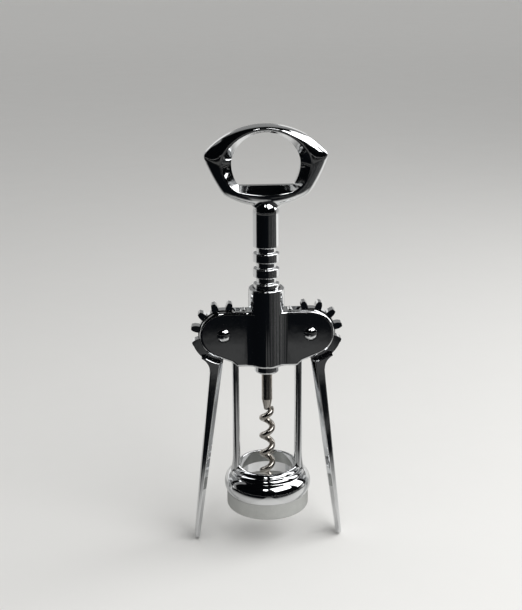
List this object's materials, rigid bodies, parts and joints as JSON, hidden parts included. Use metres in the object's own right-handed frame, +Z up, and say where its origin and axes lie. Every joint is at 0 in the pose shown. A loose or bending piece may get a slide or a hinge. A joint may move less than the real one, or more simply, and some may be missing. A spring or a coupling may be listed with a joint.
{
  "type": "double-lever corkscrew",
  "caption": "Chromed corkscrew with toothed wing levers on a round rack, an eye-shaped cap-lifter handle and a bell on a rubber ring that seats on a bottle neck.",
  "frame": {"origin": "middle of the base ring's lower face, on the worm's axis", "axes": "+Z up the worm towards the handle, +X towards the lever on the right seen from the front, front towards -Y"},
  "size_m": [0.0664, 0.0382, 0.1868],
  "materials": {
    "chrome": "polished plate on a casting",
    "handle_chrome": "polished plate on a casting",
    "lever_chrome": "polished plate on a casting",
    "rack_chrome": "polished plate, turned",
    "rivet_chrome": "polished domed heads",
    "worm_steel": "drawn wire, nickel plated",
    "rubber": "matte, light grey"
  },
  "bodies": {
    "housing": {"frame": "chrome", "base_ring": "rubber", "left_rivet": "rivet_chrome", "right_rivet": "rivet_chrome"},
    "rack": {"rack_sleeve": "rack_chrome"},
    "screw": {"handle": "handle_chrome", "worm": "worm_steel", "end_collar": "worm_steel"},
    "left_wing": {"left_lever": "lever_chrome"},
    "right_wing": {"right_lever": "lever_chrome"}
  },
  "joints": [
    {"name": "rack_slide", "type": "slide", "parent": "housing", "child": "rack", "axis": [0, 0, -1], "range_m": [0, 0.0341]},
    {"name": "handle_spin", "type": "hinge", "parent": "rack", "child": "screw", "pos_m": [0, 0, 0], "axis": [0, 0, -1], "continuous": true},
    {"name": "left_swing", "type": "hinge", "parent": "housing", "child": "left_wing", "pos_m": [-0.01855, 0, 0.081], "axis": [0, 1, 0], "range_deg": [0, 155.5]},
    {"name": "right_swing", "type": "hinge", "parent": "housing", "child": "right_wing", "pos_m": [0.01855, 0, 0.081], "axis": [0, -1, 0], "range_deg": [0, 155.5]}
  ],
  "couplings": [
    {"joint": "left_swing", "follows": "rack_slide", "rad_per_m": 79.333},
    {"joint": "right_swing", "follows": "rack_slide", "rad_per_m": 79.333}
  ]
}
